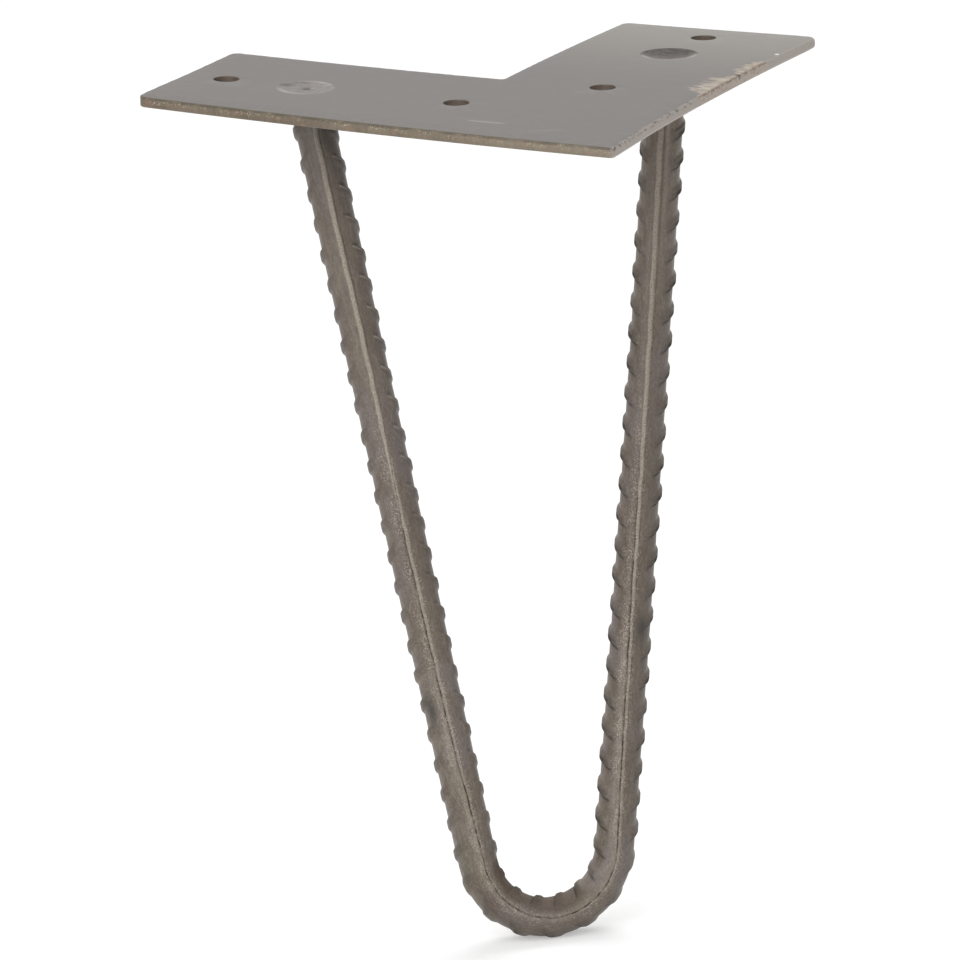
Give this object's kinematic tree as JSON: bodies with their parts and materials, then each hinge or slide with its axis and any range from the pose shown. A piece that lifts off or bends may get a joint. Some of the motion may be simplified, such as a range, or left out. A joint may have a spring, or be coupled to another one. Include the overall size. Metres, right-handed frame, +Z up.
{
  "type": "hairpin table leg",
  "caption": "Short hairpin furniture leg: a ribbed reinforcing bar bent into a narrow U, leaning towards the outer corner of the flat L-shaped screw plate that it is plug-welded under.",
  "frame": {"origin": "on the top face of the mounting plate, where the centre lines of its two arms cross", "axes": "+Z up, out of the plate's top face; +X to the right, along the line between the two ends of the bar; -Y towards the plate's outer corner, which the hairpin leans towards"},
  "size_m": [0.168, 0.1185, 0.2],
  "materials": {
    "plate_steel": "bare mill-finish sheet steel, satin, with scraped and rusty edges",
    "bar_steel": "bare hot-rolled reinforcing bar with brown mill scale, dull",
    "weld_steel": "weld metal, one plug ground flush and one left sunk"
  },
  "bodies": {
    "root": {"mounting_plate": "plate_steel", "hairpin_rod": "bar_steel", "left_plug_weld": "weld_steel", "right_plug_weld": "weld_steel"}
  },
  "joints": []
}
